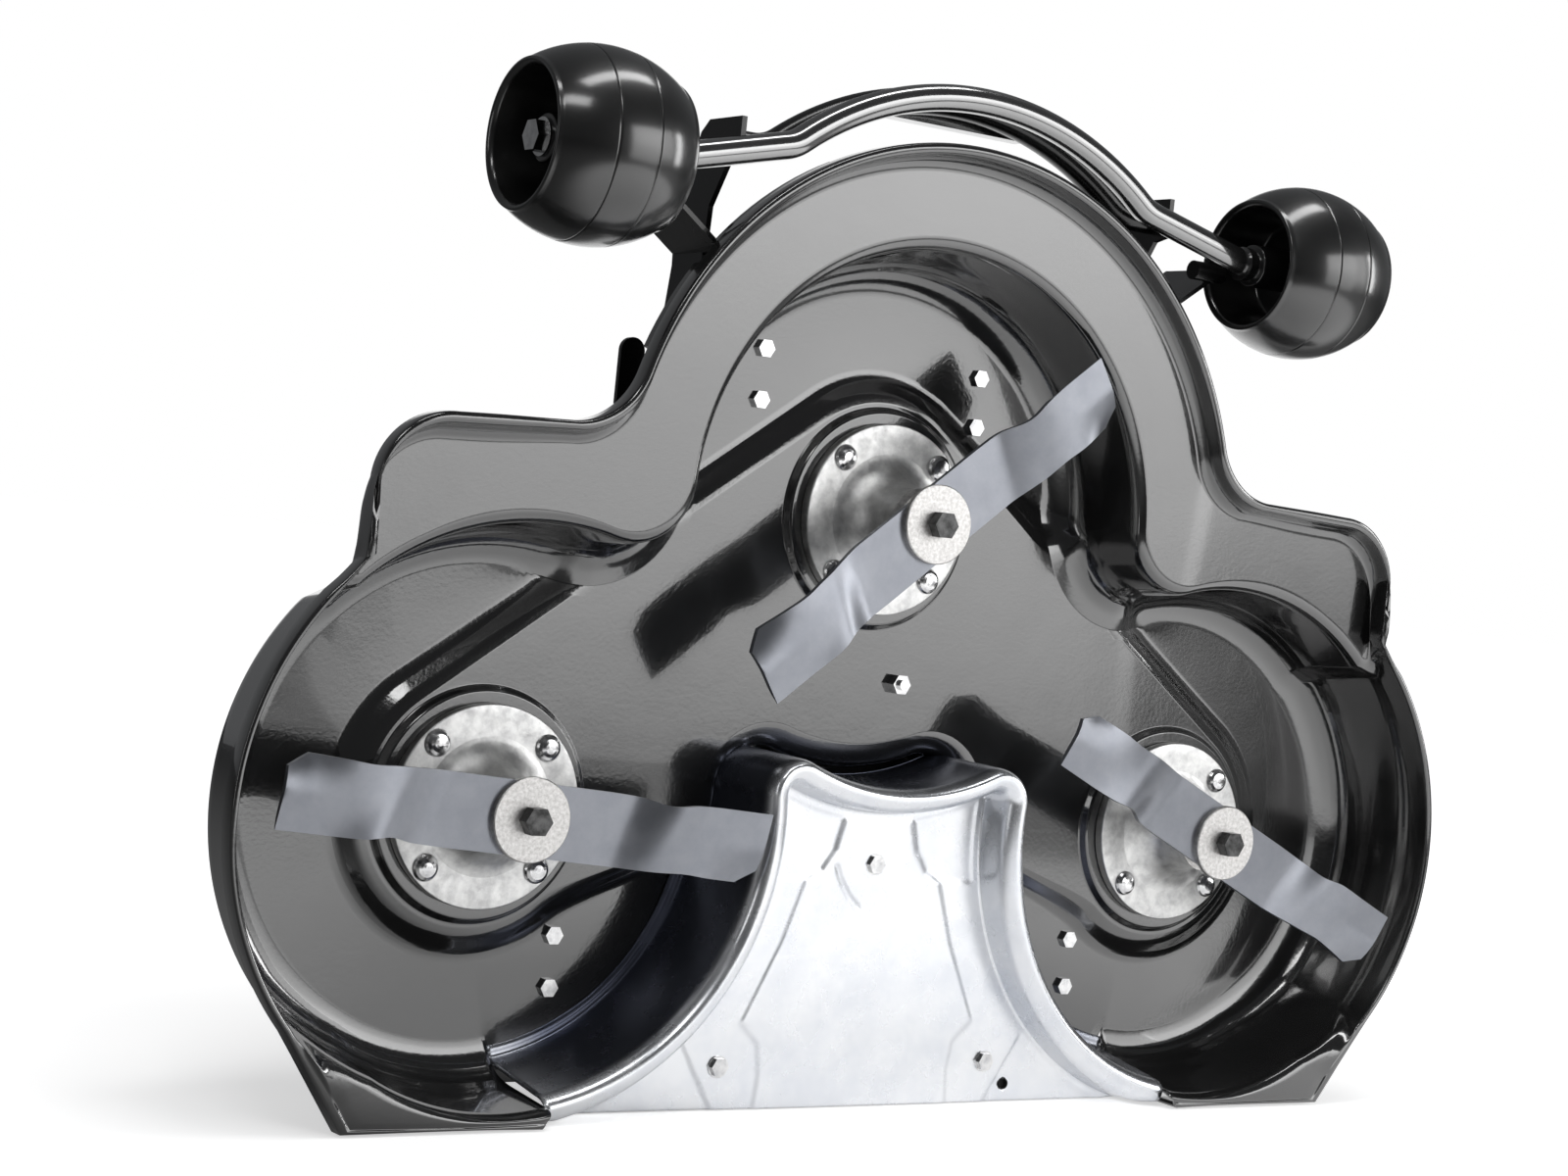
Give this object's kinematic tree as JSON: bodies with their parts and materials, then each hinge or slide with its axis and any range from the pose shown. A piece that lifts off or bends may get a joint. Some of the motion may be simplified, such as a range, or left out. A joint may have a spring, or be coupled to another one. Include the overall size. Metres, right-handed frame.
{
  "type": "lawn mower deck",
  "caption": "Stamped multi-spindle mower deck with blades, belt drive, rear discharge baffle and front gauge wheels on a bent tube bar.",
  "frame": {"origin": "centre of the rear edge on which the deck stands, at its lowest level", "axes": "+X to the mower's side shown on the right, +Y towards the belt side, away from the blades, +Z from the rear edge to the front wheels"},
  "size_m": [1.2954, 0.272, 0.9195],
  "materials": {
    "deck_paint": "gloss black powder coat",
    "bracket_paint": "satin black paint",
    "zinc_sheet": "galvanised",
    "zinc_steel": "bright zinc plated",
    "cast_alloy": "cast, machined faces",
    "blade_steel": "thin blue-grey paint",
    "dark_steel": "black oxide",
    "plain_steel": "turned steel",
    "wheel_plastic": "semi-gloss black",
    "belt_rubber": "matte",
    "pulley_steel": "black stamped steel"
  },
  "bodies": {
    "deck": {"deck_shell": "deck_paint", "front_reinforcement": "deck_paint", "discharge_hood": "deck_paint", "discharge_baffle": "zinc_sheet", "baffle_screws": "zinc_steel", "housing_left": "cast_alloy", "housing_centre": "cast_alloy", "housing_right": "cast_alloy", "housing_bolts": "zinc_steel", "spindle_bearings": "plain_steel", "deck_belt": "belt_rubber", "idler_bracket": "bracket_paint", "idler_bolt": "zinc_steel", "front_bar": "bracket_paint", "bar_end_left": "bracket_paint", "bar_end_right": "bracket_paint", "rear_arch": "bracket_paint", "bar_bracket_left": "bracket_paint", "bar_bracket_right": "bracket_paint", "bar_strap": "bracket_paint", "axle_left": "zinc_steel", "axle_right": "zinc_steel", "hanger_front": "bracket_paint", "hanger_left": "bracket_paint", "hanger_right": "bracket_paint", "hanger_screws": "zinc_steel"},
    "spindle_left": {"shaft_left": "plain_steel", "blade_left": "blade_steel", "blade_washers_left": "plain_steel", "blade_bolt_left": "dark_steel", "pulley_left": "pulley_steel"},
    "spindle_centre": {"shaft_centre": "plain_steel", "blade_centre": "blade_steel", "blade_washers_centre": "plain_steel", "blade_bolt_centre": "dark_steel", "pulley_centre": "pulley_steel"},
    "spindle_right": {"shaft_right": "plain_steel", "blade_right": "blade_steel", "blade_washers_right": "plain_steel", "blade_bolt_right": "dark_steel", "pulley_right": "pulley_steel"},
    "idler": {"idler_pulley": "pulley_steel"},
    "gauge_wheel_left": {"wheel_left": "wheel_plastic"},
    "gauge_wheel_right": {"wheel_right": "wheel_plastic"}
  },
  "joints": [
    {"name": "centre_spin", "type": "hinge", "parent": "deck", "child": "spindle_centre", "pos_m": [0, 0.031, 0.532], "axis": [0, -1, 0], "continuous": true},
    {"name": "left_spin", "type": "hinge", "parent": "deck", "child": "spindle_left", "pos_m": [-0.38, 0.031, 0.256], "axis": [0, -1, 0], "continuous": true},
    {"name": "right_spin", "type": "hinge", "parent": "deck", "child": "spindle_right", "pos_m": [0.38, 0.031, 0.256], "axis": [0, -1, 0], "continuous": true},
    {"name": "idler_spin", "type": "hinge", "parent": "deck", "child": "idler", "pos_m": [0.042, 0.109, 0.382], "axis": [0, -1, 0], "continuous": true},
    {"name": "left_wheel_spin", "type": "hinge", "parent": "deck", "child": "gauge_wheel_left", "pos_m": [-0.39, -0.054, 0.808], "axis": [1, 0, 0], "continuous": true},
    {"name": "right_wheel_spin", "type": "hinge", "parent": "deck", "child": "gauge_wheel_right", "pos_m": [0.39, -0.054, 0.808], "axis": [1, 0, 0], "continuous": true}
  ],
  "couplings": [
    {"joint": "left_spin", "follows": "centre_spin", "ratio": 1},
    {"joint": "right_spin", "follows": "centre_spin", "ratio": 1},
    {"joint": "idler_spin", "follows": "centre_spin", "ratio": -1.7941}
  ]
}
